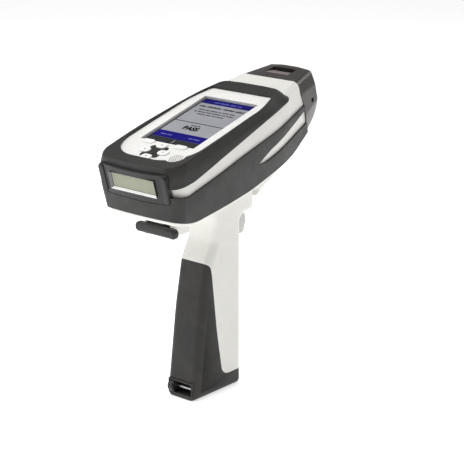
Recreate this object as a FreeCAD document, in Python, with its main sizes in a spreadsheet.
import FreeCAD, Part
import math
import os
import Sketcher

# Handheld near-infrared spectrometer of the pistol kind, in millimetres.
# Instrument frame: Z up, Y towards the nose, X to the user's right, origin at the middle of the
# flat base of the grip. The barrel leans back by "tilt" and has a frame of its own: X across,
# Y along the barrel towards the nose, Z out of the screen, with its origin on the screen plane
# at the lower edge of the display glass. Places along the barrel are called stations and
# distances from the screen plane levels.

SIZES = {
    # stance of the barrel
    "tilt": 15.4,
    "barrel_back": -39.0,
    "barrel_height": 224.0,
    # plan of the barrel at its widest, half widths
    "rear_station": -44.5,
    "rear_width": 44.5,
    "rear_round": 11.0,
    "rear_bow": 4.0,
    "rear_bow_width": 15.0,
    "rear_bow_round": 170.0,
    "rear_lean": 2.0,
    "rear_lean_low": 7.2,
    "middle_station": 12.0,
    "middle_width": 46.3,
    "middle_round": 400.0,
    "shoulder_station": 90.0,
    "shoulder_width": 42.6,
    "shoulder_round": 150.0,
    "throat_station": 147.0,
    "throat_width": 30.2,
    "skin": 1.8,
    # levels of the barrel
    "crown_level": -1.0,
    "crown_round": 5.0,
    "widest_level": -26.5,
    "flank_level": -67.0,
    "flank_inset": 7.0,
    "housing_wall": 2.5,
    # underside of the barrel, seen from the side
    "keel_rear_level": -38.5,
    "keel_knee_station": -27.0,
    "keel_knee_level": -54.5,
    "keel_low_station": 45.0,
    "keel_low_level": -62.5,
    "keel_rise_station": 112.0,
    "keel_front_level": -51.0,
    "keel_round": 5.0,
    # white chin between the grip and the nose
    "chin_width": 15.5,
    "chin_rear_station": 60.0,
    "chin_low_station": 72.0,
    "chin_low_level": -87.2,
    "chin_mid_station": 108.0,
    "chin_mid_level": -78.4,
    "chin_rear_y": 58.5,
    "chin_round": 6.0,
    # top bumper
    "rim_level": 2.2,
    "rim_inset": 2.0,
    "rim_round": 17.0,
    "rim_edge": 1.1,
    "rim_front_station": 110.4,
    "rim_front_width": 31.5,
    "rim_front_round": 8.0,
    "rim_front_bow": 1.2,
    "rim_side_station": 80.0,
    "rim_side_width": 39.6,
    "brow_level": -5.0,
    "brow_front_station": 113.0,
    "brow_front_width": 40.4,
    "brow_front_round": 11.0,
    "brow_front_bow": 3.0,
    "skirt_level": -18.0,
    # line between the top bumper and the white flank
    "stripe_top_rear_level": -12.4,
    "stripe_top_dip_station": -22.0,
    "stripe_top_dip_level": -15.6,
    "stripe_top_mid_station": 14.0,
    "stripe_top_mid_level": -11.7,
    "stripe_top_front_level": -2.2,
    # line between the white flank and the side bumper
    "stripe_low_rear_level": -17.5,
    "stripe_low_dip_station": -33.0,
    "stripe_low_dip_level": -24.8,
    "stripe_low_mid_station": 30.0,
    "stripe_low_mid_level": -22.6,
    "stripe_low_front_level": -24.3,
    # lower edge of the side bumper
    "band_rear_level": -35.0,
    "band_knee_level": -50.8,
    "band_low_level": -58.4,
    "band_front_level": -49.8,
    # white drop let into the side bumper
    "drop_tip_station": 54.0,
    "drop_tip_level": -40.3,
    "drop_neck_station": 75.0,
    "drop_top_level": -34.8,
    "drop_top_front_level": -27.9,
    "drop_low_level": -43.4,
    "drop_low_front_level": -42.0,
    # bezel, glass and keys
    "bezel_half_width": 40.2,
    "bezel_rear_station": -29.5,
    "bezel_rear_round": 29.0,
    "bezel_front_station": 97.0,
    "bezel_front_width": 33.0,
    "bezel_front_round": 4.0,
    "bezel_thick": 3.0,
    "bezel_lobe_width": 27.5,
    "bezel_lobe_station": -19.5,
    "bezel_lobe_radius": 8.5,
    "glass_half_width": 28.6,
    "glass_length": 82.3,
    "glass_round": 1.0,
    "glass_thick": 1.5,
    "glass_drop": 0.2,
    "panel_half_width": 29.2,
    "panel_start": 4.0,
    "panel_length": 80.0,
    "board_thick": 1.6,
    "board_half_width": 33.0,
    "board_front_gap": 5.0,
    "board_rear_round": 25.0,
    "well_margin": 0.55,
    "board_drop": 4.8,
    "key_proud": 1.0,
    "key_travel": 0.7,
    "key_clearance": 0.3,
    "soft_key_width": 17.4,
    "soft_key_station": -2.6,
    "soft_key_half_length": 6.2,
    "soft_key_half_depth": 2.9,
    "nav_station": -15.3,
    "nav_reach": 9.7,
    "nav_key_half_length": 5.2,
    "nav_key_half_depth": 3.7,
    "nav_pad_half": 9.2,
    "nav_pad_round": 3.0,
    "nav_pad_thick": 1.2,
    # rear display
    "rear_frame_half_width": 36.4,
    "rear_frame_top_level": -2.2,
    "rear_frame_low_level": -27.4,
    "rear_frame_thick": 6.4,
    "rear_frame_proud": 1.8,
    "rear_window_half_width": 23.4,
    "rear_window_top_level": -8.2,
    "rear_window_low_level": -20.8,
    "rear_window_bevel": 1.5,
    "rear_window_flare": 2.0,
    "rear_pillar_place": 33.4,
    "rear_pillar_half_width": 2.9,
    "rear_pillar_proud": 1.3,
    "rear_lens_thick": 1.0,
    "rear_module_depth": 6.0,
    # nose cap
    "border_top_station": 132.0,
    "border_low_station": 141.0,
    "nose_station": 163.0,
    "nose_root_station": 125.0,
    "nose_root_top_width": 32.6,
    "nose_root_top_level": -1.2,
    "nose_root_side_width": 34.5,
    "nose_root_flank_width": 33.6,
    "nose_root_low_width": 29.5,
    "nose_root_low_level": -60.5,
    "nose_tip_top_width": 22.5,
    "nose_tip_top_level": -4.8,
    "nose_tip_side_width": 25.0,
    "nose_tip_flank_width": 25.0,
    "nose_tip_low_width": 18.0,
    "nose_tip_low_level": -49.0,
    "nose_wall": 3.0,
    "collar_top_level": -8.5,
    "collar_low_level": -45.5,
    "collar_start": 126.0,
    "collar_end": 147.0,
    "collar_round": 6.0,
    "aperture_level": -27.0,
    "aperture_radius": 11.0,
    "window_radius": 12.5,
    "window_thick": 1.5,
    "nose_corner_round": 4.5,
    "scoop_half_width": 12.5,
    "scoop_start": 142.0,
    "scoop_start_level": -1.9,
    "scoop_end": 155.6,
    "scoop_end_level": -6.0,
    "slot_length": 2.6,
    "slot_depth": 2.2,
    "dimple_station": 152.5,
    "dimple_level": -27.5,
    # optics inside the barrel
    "bench_half_width": 24.0,
    "bench_start": -8.0,
    "bench_length": 112.0,
    "bench_level": -50.0,
    "bench_thick": 4.0,
    "lens_tube_radius": 9.0,
    "lens_tube_start": 92.0,
    "lens_tube_length": 26.0,
    "lamp_ring_radius": 14.0,
    "lamp_radius": 2.2,
    # grip
    "grip_half_width": 17.0,
    "grip_edge_round": 7.0,
    "grip_front": 35.0,
    "grip_heel": -26.6,
    "grip_waist_y": -8.0,
    "grip_waist_z": 119.0,
    "grip_neck_y": 0.5,
    "grip_neck_z": 134.0,
    "grip_flare_z": 164.6,
    "grip_flare_round": 20.0,
    "grip_top_z": 182.0,
    "hood_front": 52.5,
    "hood_low_z": 152.0,
    "pad_thick": 1.6,
    "pad_top_z": 117.8,
    "boot_top_z": 15.0,
    "pad_edge_y": 1.8,
    "pad_top_y": -5.4,
    "pad_foot_y": 9.0,
    # battery and its door
    "battery_half_width": 9.8,
    "battery_rear": 5.0,
    "battery_front": 25.0,
    "battery_low_z": 5.6,
    "battery_length": 84.0,
    "battery_clearance": 0.4,
    "door_half_width": 10.8,
    "door_rear": 3.0,
    "door_hinge_y": 24.6,
    "door_hinge_z": 2.9,
    "door_thick": 3.6,
    "door_lift": 0.5,
    "door_clearance": 0.35,
    "door_knuckle": 2.2,
    "door_pin_radius": 1.0,
    # trigger
    "trigger_half_width": 6.8,
    "trigger_side_gap": 0.35,
    "trigger_pivot_y": 41.0,
    "trigger_pivot_z": 157.5,
    "trigger_front": 52.3,
    "trigger_low_z": 130.0,
    "trigger_pin_radius": 1.5,
    "trigger_slot_rear": 24.0,
    "switch_half_width": 5.0,
    "trigger_edge_round": 2.5,
    "leaf_thick": 0.4,
    "leaf_half_width": 2.5,
    "leaf_low_z": 126.9,
    "leaf_top_z": 131.4,
    # strap bar at the heel
    "strap_half_width": 12.2,
    "strap_low_z": 4.2,
    "strap_top_z": 14.6,
    "strap_depth": 10.5,
    "strap_pin_depth": 4.6,
    "strap_lug_proud": 3.0,
    "strap_lug_width": 6.0,
    "strap_pin_radius": 1.2,
    "heel_wall": 1.4,
    # port under the rear of the barrel
    "port_half_width": 17.0,
    "port_rear": -50.0,
    "port_front": -30.0,
    "port_low_z": 151.5,
    "port_cover_half_width": 22.0,
    "port_cover_thick": 5.2,
    "port_cover_top_z": 158.6,
    "port_cover_low_z": 150.4,
    "port_hinge_radius": 1.0,
    "port_hinge_y": -49.0,
    "port_hinge_z": 150.6,
    "port_hinge_half": 12.0,
    "port_ear": 3.0,
    "port_knuckle": 1.9,
    "socket_length": 7.5,
    "port_ear_radius": 2.4,
    # fits and small parts
    "seam": 0.15,
    "pin_fit": 0.02,
    "turning_fit": 0.06,
    "cavity_rear_station": -22.0,
    "cavity_front_station": 108.0,
    "cavity_top_level": -10.5,
    "cavity_shoulder_round": 30.0,
    "bench_stand": 2.0,
    "collar_half_width": 19.0,
    "collar_wall": 2.2,
    "screw_radius": 1.5,
    "screw_head_radius": 2.7,
    "screw_head": 2.2,
    "screw_seat_level": -44.0,
    "screw_tip_level": -13.0,
    "screw_rear_width": 31.0,
    "screw_rear_station": -33.0,
    "screw_front_width": 23.2,
    "screw_front_station": 118.0,
}


class Size:
    """A length that keeps its number together with the sheet formula that gives it."""

    def __init__(self, value, text):
        self.value = float(value)
        self.text = text

    @staticmethod
    def of(other):
        return other if isinstance(other, Size) else Size(other, repr(float(other)))

    def join(self, other, sign, number):
        return Size(number, "(%s %s %s)" % (self.text, sign, other.text))

    def __add__(self, other):
        other = Size.of(other)
        return self.join(other, "+", self.value + other.value)

    def __sub__(self, other):
        other = Size.of(other)
        return self.join(other, "-", self.value - other.value)

    def __mul__(self, other):
        other = Size.of(other)
        return self.join(other, "*", self.value * other.value)

    def __truediv__(self, other):
        other = Size.of(other)
        return self.join(other, "/", self.value / other.value)

    def __radd__(self, other):
        return Size.of(other) + self

    def __rsub__(self, other):
        return Size.of(other) - self

    def __rmul__(self, other):
        return Size.of(other) * self

    def __neg__(self):
        return Size(-self.value, "(0 - %s)" % self.text)

    def __float__(self):
        return self.value


class Named:
    """The sizes of the sheet, one attribute each."""


doc = FreeCAD.newDocument("nir_spectrometer")
dims = doc.addObject("Spreadsheet::Sheet", "dims")
d = Named()
for row, (alias, number) in enumerate(SIZES.items(), start=1):
    dims.set("A%d" % row, alias)
    dims.set("B%d" % row, str(number))
    dims.setAlias("B%d" % row, alias)
    setattr(d, alias, Size(number, "dims." + alias))
doc.recompute()


# Helpers: binding, sketches and features


def bind(target, path, amount):
    """Set a property path of an object from a size or a plain number."""
    amount = Size.of(amount)
    target.setExpression(path, amount.text)


def body(label, barrel=True):
    """A body in the barrel frame, or in the instrument frame."""
    made = doc.addObject("PartDesign::Body", label)
    made.Label = label
    if barrel:
        lean(made)
    return made


def lean(made):
    """Stand an object in the barrel frame."""
    turn = FreeCAD.Rotation(FreeCAD.Vector(1, 0, 0), d.tilt.value)
    made.Placement = FreeCAD.Placement(FreeCAD.Vector(0, d.barrel_back.value, d.barrel_height.value), turn)
    bind(made, "Placement.Base.y", d.barrel_back)
    bind(made, "Placement.Base.z", d.barrel_height)
    bind(made, "Placement.Rotation.Angle", d.tilt)


def sketch(owner, name, plane, shift=0.0):
    """An empty sketch on one of the body's planes, shifted along the plane's normal."""
    made = owner.newObject("Sketcher::SketchObject", name)
    support = next(f for f in owner.Origin.OriginFeatures if f.Role == plane)
    made.AttachmentSupport = [(support, "")]
    made.MapMode = "FlatFace"
    made.AttachmentOffset = FreeCAD.Placement(FreeCAD.Vector(0, 0, float(shift)), FreeCAD.Rotation())
    bind(made, "AttachmentOffset.Base.z", shift)
    return made


def dimension(made, kind, places, amount):
    """A driving dimension bound to a size."""
    index = made.addConstraint(Sketcher.Constraint(kind, *places, float(amount)))
    if isinstance(amount, Size):
        made.setExpression("Constraints[%d]" % index, amount.text)


def locate(made, geometry, point, across, up):
    """Fix a point of the sketch by its distances from the origin."""
    dimension(made, "DistanceX", (-1, 1, geometry, point), across)
    dimension(made, "DistanceY", (-1, 1, geometry, point), up)


def polygon(made, corners):
    """A closed outline through corners (across, up, radius), each rounded by its radius."""
    count = len(corners)
    points = [FreeCAD.Vector(float(a), float(b), 0) for a, b, r in corners]
    radii = [float(r) for a, b, r in corners]
    runs = [(points[(i + 1) % count] - points[i]).normalize() for i in range(count)]
    cuts = []
    turns = []
    for i in range(count):
        before = runs[i - 1]
        after = runs[i]
        turn = math.atan2(before.x * after.y - before.y * after.x, before.dot(after))
        turns.append(turn)
        cuts.append(radii[i] * math.tan(abs(turn) / 2))
    lines = []
    for i in range(count):
        start = points[i] + runs[i] * cuts[i]
        end = points[(i + 1) % count] - runs[i] * cuts[(i + 1) % count]
        lines.append(made.addGeometry(Part.LineSegment(start, end), False))
    for i in range(count):
        before = lines[i - 1]
        after = lines[i]
        if radii[i] == 0:
            made.addConstraint(Sketcher.Constraint("Coincident", before, 2, after, 1))
            locate(made, after, 1, corners[i][0], corners[i][1])
            continue
        start = points[i] - runs[i - 1] * cuts[i]
        end = points[i] + runs[i] * cuts[i]
        left = turns[i] > 0
        side = FreeCAD.Vector(-runs[i - 1].y, runs[i - 1].x, 0) * (radii[i] if left else -radii[i])
        centre = start + side
        first, last = (start, end) if left else (end, start)
        low = math.atan2(first.y - centre.y, first.x - centre.x)
        high = math.atan2(last.y - centre.y, last.x - centre.x)
        if high < low:
            high += 2 * math.pi
        circle = Part.Circle(centre, FreeCAD.Vector(0, 0, 1), radii[i])
        arc = made.addGeometry(Part.ArcOfCircle(circle, low, high), False)
        near, far = (1, 2) if left else (2, 1)
        made.addConstraint(Sketcher.Constraint("Tangent", before, 2, arc, near))
        made.addConstraint(Sketcher.Constraint("Tangent", arc, far, after, 1))
        dimension(made, "Radius", (arc,), corners[i][2])
        corner = made.addGeometry(Part.Point(points[i]), True)
        locate(made, corner, 1, corners[i][0], corners[i][1])
        made.addConstraint(Sketcher.Constraint("PointOnObject", corner, 1, before))
        made.addConstraint(Sketcher.Constraint("PointOnObject", corner, 1, after))


def both_sides(half):
    """The corners of a symmetrical outline from its right half, listed upwards."""
    return half + [(-a, b, r) for a, b, r in reversed(half)]


def circle(made, across, up, radius):
    """A circle located by its centre."""
    shape = Part.Circle(FreeCAD.Vector(float(across), float(up), 0), FreeCAD.Vector(0, 0, 1), float(radius))
    index = made.addGeometry(shape, False)
    locate(made, index, 3, across, up)
    dimension(made, "Radius", (index,), radius)


def box_corners(left, low, right, high, radius=0.0):
    """Corners of a rectangle."""
    return [(left, low, radius), (right, low, radius), (right, high, radius), (left, high, radius)]


def stadium(made, across, up, half_length, half_depth, grow=0.0):
    """A rectangle with nearly round ends, as the keys have."""
    a = half_length + grow
    b = half_depth + grow
    polygon(made, box_corners(across - a, up - b, across + a, up + b, b * 0.92))


def extrude(owner, kind, profile, length, symmetric=False, reverse=False):
    """A pad or pocket of a sketch."""
    made = owner.newObject("PartDesign::" + kind, profile.Name + "_" + kind.lower())
    made.Profile = profile
    bind(made, "Length", length)
    made.SideType = "Symmetric" if symmetric else "One side"
    made.Reversed = reverse
    return made


def pad(owner, profile, length, symmetric=False, reverse=False):
    return extrude(owner, "Pad", profile, length, symmetric, reverse)


def pocket(owner, profile, length, symmetric=False, reverse=False):
    return extrude(owner, "Pocket", profile, length, symmetric, reverse)


def loft(owner, name, sections):
    """A straight-sided loft through sketches."""
    made = owner.newObject("PartDesign::AdditiveLoft", name)
    made.Profile = sections[0]
    made.Sections = sections[1:]
    made.Ruled = True
    return made


def soften(owner, name, base, radius, wanted, kind="Fillet"):
    """Round or bevel the edges of a feature that the test picks by their middle and ends."""
    doc.recompute()
    names = []
    for number, edge in enumerate(base.Shape.Edges, start=1):
        middle = edge.valueAt((edge.FirstParameter + edge.LastParameter) / 2)
        if wanted(edge, middle):
            names.append("Edge%d" % number)
    made = owner.newObject("PartDesign::" + kind, name)
    made.Base = (base, names)
    bind(made, "Radius" if kind == "Fillet" else "Size", radius)
    return made


def boolean(kind, name, base, tool):
    """Cut, Common or Fuse of two objects, kept as an object of the document."""
    if kind == "Fuse" and isinstance(tool, list):
        made = doc.addObject("Part::MultiFuse", name)
        made.Shapes = [base] + tool
    else:
        made = doc.addObject("Part::" + kind, name)
        made.Base = base
        made.Tool = tool
    made.Label = name
    return made


def cut_all(label, base, tools):
    """Cut several tools from a base, one after another; the last result bears the label."""
    made = base
    for number, tool in enumerate(tools, start=1):
        last = number == len(tools)
        made = boolean("Cut", label if last else "%s_step%d" % (label, number), made, tool)
    return made


NODES = []


def keep(*made):
    """Mark objects as sub-parts to be written out."""
    NODES.extend(made)


# Outlines that several pieces share


def rear_arc(inset, lean):
    """Middle of the bowed rear edge of a plan."""
    return (d.rear_bow_width, d.rear_station - lean + inset, d.rear_bow_round)


def plan(inset, level_round, front=None, lean=0.0):
    """Right half of the barrel's plan, inset from its widest outline, from rear to front."""
    half = [
        rear_arc(inset, lean),
        (d.rear_width - inset, d.rear_station + d.rear_bow - lean + inset, level_round),
        (d.middle_width - inset, d.middle_station, d.middle_round),
        (d.shoulder_width - inset, d.shoulder_station, d.shoulder_round),
    ]
    return half + (front or [(d.throat_width - inset, d.throat_station, 6.0)])


def lower_plan(inset):
    """Right half of the plan at the flank level, drawn in all round but less at the rear."""
    side = inset + d.flank_inset
    return [
        rear_arc(inset, d.rear_lean_low),
        (d.rear_width - side, d.rear_station + d.rear_bow - d.rear_lean_low + inset, d.rear_round),
        (d.middle_width - side, d.middle_station, d.middle_round),
        (d.shoulder_width - side, d.shoulder_station, d.shoulder_round),
        (d.throat_width - side, d.throat_station, 6.0),
    ]


def side_prism(label, corners, half_width=70.0):
    """A block with the given side view, across the whole barrel."""
    owner = body(label)
    profile = sketch(owner, label + "_side", "YZ_Plane")
    polygon(profile, corners)
    pad(owner, profile, 2 * half_width, symmetric=True)
    return owner


def plan_prism(owner, name, half, low, high):
    """A straight prism over a symmetrical plan between two levels."""
    profile = sketch(owner, name, "XY_Plane", low)
    polygon(profile, both_sides(half))
    return pad(owner, profile, high - low)


FAR = 170.0
BACK = -70.0
BELOW = -110.0
ABOVE = 30.0


# Outer form of the flanks: upright above the widest level, drawn in below it

flank = body("flank_form")
flank_top = sketch(flank, "flank_top", "XY_Plane", d.widest_level)
polygon(flank_top, both_sides(plan(0.0, d.rear_round, lean=d.rear_lean)))
flank_low = sketch(flank, "flank_low", "XY_Plane", d.flank_level)
polygon(flank_low, both_sides(lower_plan(0.0)))
loft(flank, "flank_loft", [flank_top, flank_low])
flank_rise = sketch(flank, "flank_rise", "XY_Plane", d.widest_level)
polygon(flank_rise, both_sides(plan(0.0, d.rear_round, lean=d.rear_lean)))
pad(flank, flank_rise, d.stripe_low_mid_level - d.widest_level + 8.0)

# White form of the barrel, one skin inside the outer form, in two halves at the widest level

crown = body("crown_form")
plan_prism(crown, "crown_plan", plan(d.skin, d.rim_round - 3.0), d.widest_level, d.crown_level)
doc.recompute()


def on_crown(edge, middle):
    """The edge that runs round the top of the barrel."""
    return abs(middle.z - d.crown_level.value) < 0.01 and abs(edge.BoundBox.ZLength) < 0.01


soften(crown, "crown_edge", crown.Tip, d.crown_round, on_crown)

keel = body("keel_form")
keel_top = sketch(keel, "keel_top", "XY_Plane", d.widest_level)
polygon(keel_top, both_sides(plan(d.skin, d.rear_round - d.skin, lean=d.rear_lean)))
keel_low = sketch(keel, "keel_low", "XY_Plane", d.flank_level)
polygon(keel_low, both_sides(lower_plan(d.skin)))
loft(keel, "keel_loft", [keel_top, keel_low])
underside = sketch(keel, "keel_underside", "YZ_Plane")
polygon(
    underside,
    [
        (BACK, d.keel_rear_level + (d.keel_rear_level - d.keel_knee_level) * 0.3, 0.0),
        (BACK, BELOW, 0.0),
        (FAR, BELOW, 0.0),
        (FAR, d.keel_front_level + 3.0, 0.0),
        (d.keel_rise_station, d.keel_low_level, 60.0),
        (d.keel_low_station, d.keel_low_level, 120.0),
        (d.keel_knee_station, d.keel_knee_level, 30.0),
    ],
)
under_cut = pocket(keel, underside, 160.0, symmetric=True)


def under_rim(edge, middle):
    """The edge where the flank meets the underside."""
    bounds = edge.BoundBox
    low = middle.z < d.keel_rear_level.value - 1.0
    wide = abs(middle.x) > 8.0 or middle.y < d.rear_station.value + 6.0
    return low and wide and bounds.DiagonalLength > 0.5 and middle.y < d.throat_station.value - 1.0


soften(keel, "keel_edge", under_cut, d.keel_round, under_rim)

# Side views that part black from white

border = side_prism(
    "nose_side",
    [
        (d.border_top_station - (d.border_low_station - d.border_top_station) * ABOVE / 60.0, ABOVE, 0.0),
        (d.border_low_station + (d.border_low_station - d.border_top_station) * (-60.0 - BELOW) / 60.0, BELOW, 0.0),
        (FAR + 20.0, BELOW, 0.0),
        (FAR + 20.0, ABOVE, 0.0),
    ],
)
above_stripe = side_prism(
    "above_stripe",
    [
        (BACK, d.stripe_top_rear_level, 0.0),
        (d.stripe_top_dip_station, d.stripe_top_dip_level, 40.0),
        (d.stripe_top_mid_station, d.stripe_top_mid_level, 60.0),
        (FAR, d.stripe_top_front_level, 0.0),
        (FAR, ABOVE, 0.0),
        (BACK, ABOVE, 0.0),
    ],
)
band = side_prism(
    "band_side",
    [
        (BACK, d.band_rear_level + 5.0, 0.0),
        (d.keel_knee_station, d.band_knee_level, 40.0),
        (d.keel_low_station, d.band_low_level, 120.0),
        (d.keel_rise_station, d.band_low_level, 60.0),
        (FAR, d.band_front_level + 4.0, 0.0),
        (FAR, d.stripe_low_front_level, 0.0),
        (d.stripe_low_mid_station, d.stripe_low_mid_level, 200.0),
        (d.stripe_low_dip_station, d.stripe_low_dip_level, 20.0),
        (BACK, d.stripe_low_rear_level + 7.0, 0.0),
    ],
)
drop = side_prism(
    "drop_side",
    [
        (d.drop_tip_station, d.drop_tip_level, 1.2),
        (d.drop_neck_station - 8.0, d.drop_low_level, 20.0),
        (FAR, d.drop_low_front_level, 0.0),
        (FAR, d.drop_top_front_level + 3.0, 0.0),
        (d.drop_neck_station, d.drop_top_level, 30.0),
    ],
)


# Top bumper: a rim that stands proud of the bezel, with a skirt down to the white flank


def rim_plan(inset, corner, side_width, side_station, nose, lean=0.0):
    """Right half of the top bumper's plan."""
    return [
        rear_arc(inset, lean),
        (d.rear_width - inset, d.rear_station + d.rear_bow - lean + inset, corner),
        (d.middle_width - inset, d.middle_station, d.middle_round),
        (side_width, side_station, d.shoulder_round),
    ] + nose


def bezel_plan(grow):
    """Right half of the bezel's plan, grown all round."""
    return [
        (d.bezel_half_width - 0.4 + grow, d.bezel_rear_station - grow, d.bezel_rear_round + grow),
        (d.bezel_half_width + grow, d.middle_station + 10.0, 200.0),
        (d.bezel_half_width - 0.8 + grow, d.rim_side_station - 4.0, 90.0),
        (d.bezel_front_width + grow, d.bezel_front_station + grow, d.bezel_front_round + grow),
    ]


def rim_front(width, station, rounding, bow):
    """Front corner of the rim and its gently bowed front edge."""
    return [(width, station, rounding), (width * 0.4, station + bow, 60.0)]


rim = body("rim_form")
rim_top = sketch(rim, "rim_top", "XY_Plane", d.rim_level)
crest_width = d.rim_front_width - d.rim_edge
crest_station = d.rim_front_station - d.rim_edge
crest_nose = rim_front(crest_width, crest_station, d.rim_front_round, d.rim_front_bow)
crest_side = d.rim_side_width - d.rim_edge
crest_inset = d.rim_inset + d.rim_edge
crest_half = rim_plan(crest_inset, d.rim_round - d.rim_edge, crest_side, d.rim_side_station, crest_nose)
polygon(rim_top, both_sides(crest_half))
rim_nose = rim_front(d.rim_front_width, d.rim_front_station, d.rim_front_round, d.rim_front_bow)
rim_half = rim_plan(d.rim_inset, d.rim_round, d.rim_side_width, d.rim_side_station, rim_nose)
rim_side = sketch(rim, "rim_side", "XY_Plane", d.rim_level - d.rim_edge)
polygon(rim_side, both_sides(rim_half))
brow_nose = rim_front(d.brow_front_width, d.brow_front_station, d.brow_front_round, d.brow_front_bow)
brow_half = rim_plan(0.6, (d.rim_round + d.rear_round) / 2, d.shoulder_width, d.shoulder_station, brow_nose)
rim_brow = sketch(rim, "rim_brow", "XY_Plane", d.brow_level)
polygon(rim_brow, both_sides(brow_half))
skirt_half = rim_plan(0.0, d.rear_round + 1.0, d.shoulder_width, d.shoulder_station, brow_nose, d.rear_lean)
rim_skirt = sketch(rim, "rim_skirt", "XY_Plane", d.skirt_level)
polygon(rim_skirt, both_sides(skirt_half))
loft(rim, "rim_loft", [rim_top, rim_side, rim_brow, rim_skirt])
rim_opening = sketch(rim, "rim_opening", "XY_Plane", -d.bezel_thick)
polygon(rim_opening, both_sides(bezel_plan(d.seam)))
pocket(rim, rim_opening, d.rim_level + d.bezel_thick + 1.0, reverse=True)
rim_lobe = sketch(rim, "rim_lobe", "XY_Plane", -d.bezel_thick)
circle(rim_lobe, d.bezel_lobe_width, d.bezel_lobe_station, d.bezel_lobe_radius + d.seam)
pocket(rim, rim_lobe, d.rim_level + d.bezel_thick + 1.0, reverse=True)

# Envelope of the rear display frame, taken out of the housing and both bumpers


def rear_frame_profile(owner, name, grow, shift):
    """Rear view of the display frame, grown all round."""
    made = sketch(owner, name, "XZ_Plane", shift)
    half = d.rear_frame_half_width + grow
    corners = box_corners(-half, d.rear_frame_low_level - grow, half, d.rear_frame_top_level + grow, 3.0)
    polygon(made, corners)
    return made


rear_seat_station = d.rear_station + d.rear_frame_thick - d.rear_frame_proud
rear_envelope = body("rear_envelope")
envelope_profile = rear_frame_profile(rear_envelope, "envelope_profile", d.seam, -rear_seat_station)
pad(rear_envelope, envelope_profile, 20.0)

# Deck that the bezel and the rim stand on, and the room inside the barrel

deck = body("deck_form")
plan_prism(deck, "deck_plan", rim_half, -d.bezel_thick, -d.bezel_thick + 12.0)

well = body("well_form")
board_front = d.panel_start + d.panel_length + d.board_front_gap
well_half = [
    (d.board_half_width + d.seam, d.bezel_rear_station + d.well_margin - d.seam, d.board_rear_round),
    (d.board_half_width + d.seam, board_front + d.seam, 3.0),
]
well_floor = -d.bezel_thick - d.board_drop
plan_prism(well, "well_plan", well_half, well_floor, d.bezel_thick)

upper_room = body("upper_room")
room_half = [
    (d.rear_width - d.skin - d.housing_wall, d.cavity_rear_station, 6.0),
    (d.middle_width - d.skin - d.housing_wall, d.middle_station, d.middle_round),
    (d.shoulder_width - d.skin - d.housing_wall, d.shoulder_station - 4.0, d.cavity_shoulder_round),
    (d.throat_width, d.cavity_front_station, 6.0),
]
plan_prism(upper_room, "upper_room_plan", room_half, d.widest_level - 0.01, d.cavity_top_level)

lower_room = body("lower_room")
room_side = d.flank_inset + d.skin + d.housing_wall
room_low_half = [
    (d.rear_width - room_side, d.cavity_rear_station, 6.0),
    (d.middle_width - room_side, d.middle_station, d.middle_round),
    (d.shoulder_width - room_side, d.shoulder_station - 4.0, d.cavity_shoulder_round),
    (d.throat_width - 4.0, d.cavity_front_station, 6.0),
]
room_floor = d.bench_level - d.bench_stand
lower_room_plan = sketch(lower_room, "lower_room_plan", "XY_Plane", room_floor)
polygon(lower_room_plan, both_sides(room_low_half))
pad(lower_room, lower_room_plan, d.widest_level - room_floor + 0.01)
stand_profile = sketch(lower_room, "stand_profile", "XY_Plane", room_floor)
bench_near = d.bench_start + 8.0
bench_far = d.bench_start + d.bench_length - 10.0
bench_side = d.bench_half_width - 6.0
for stand_x in (-bench_side, bench_side):
    for stand_y in (bench_near, bench_far):
        circle(stand_profile, stand_x, stand_y, 4.0)
pocket(lower_room, stand_profile, d.bench_stand, reverse=True)


def collar_corners(inset):
    """Rear view of the collar that joins the nose cap to the housing."""
    half = d.collar_half_width - inset
    low = d.collar_low_level + inset
    high = d.collar_top_level - inset
    return box_corners(-half, low, half, high, d.collar_round - inset)


tunnel = body("tunnel_form")
tunnel_profile = sketch(tunnel, "tunnel_profile", "XZ_Plane", -(d.cavity_front_station - 4.0))
polygon(tunnel_profile, collar_corners(-d.seam))
pad(tunnel, tunnel_profile, 60.0, reverse=True)

# Screws that draw the two halves together, driven from below

screw_places = [
    (-d.screw_rear_width, d.screw_rear_station),
    (d.screw_rear_width, d.screw_rear_station),
    (-d.screw_front_width, d.screw_front_station),
    (d.screw_front_width, d.screw_front_station),
]


def screw_group(label, shank, head, head_length, low, high):
    """The same stack of cylinders, one separate solid at each place."""
    parts = []
    for number, (across, along) in enumerate(screw_places, start=1):
        head_part = doc.addObject("Part::Cylinder", "%s_head%d" % (label, number))
        bind(head_part, "Radius", head)
        bind(head_part, "Height", head_length)
        bind(head_part, "Placement.Base.x", across)
        bind(head_part, "Placement.Base.y", along)
        bind(head_part, "Placement.Base.z", low)
        shank_part = doc.addObject("Part::Cylinder", "%s_shank%d" % (label, number))
        bind(shank_part, "Radius", shank)
        bind(shank_part, "Height", high - low - head_length)
        bind(shank_part, "Placement.Base.x", across)
        bind(shank_part, "Placement.Base.y", along)
        bind(shank_part, "Placement.Base.z", low + head_length)
        parts.append(boolean("Fuse", "%s_%d" % (label, number), head_part, shank_part))
    group = doc.addObject("Part::Compound", label)
    group.Links = parts
    group.Label = label
    lean(group)
    return group


screw_low = d.screw_seat_level - d.screw_head
screw_tip = d.screw_tip_level
housing_screws = screw_group(
    "housing_screws", d.screw_radius, d.screw_head_radius, d.screw_head, screw_low, screw_tip
)
screw_room = screw_group(
    "screw_room",
    d.screw_radius + d.pin_fit,
    d.screw_head_radius + d.key_clearance,
    d.screw_seat_level - BELOW,
    Size.of(BELOW),
    screw_tip + 0.5,
)

# Upper housing

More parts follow.
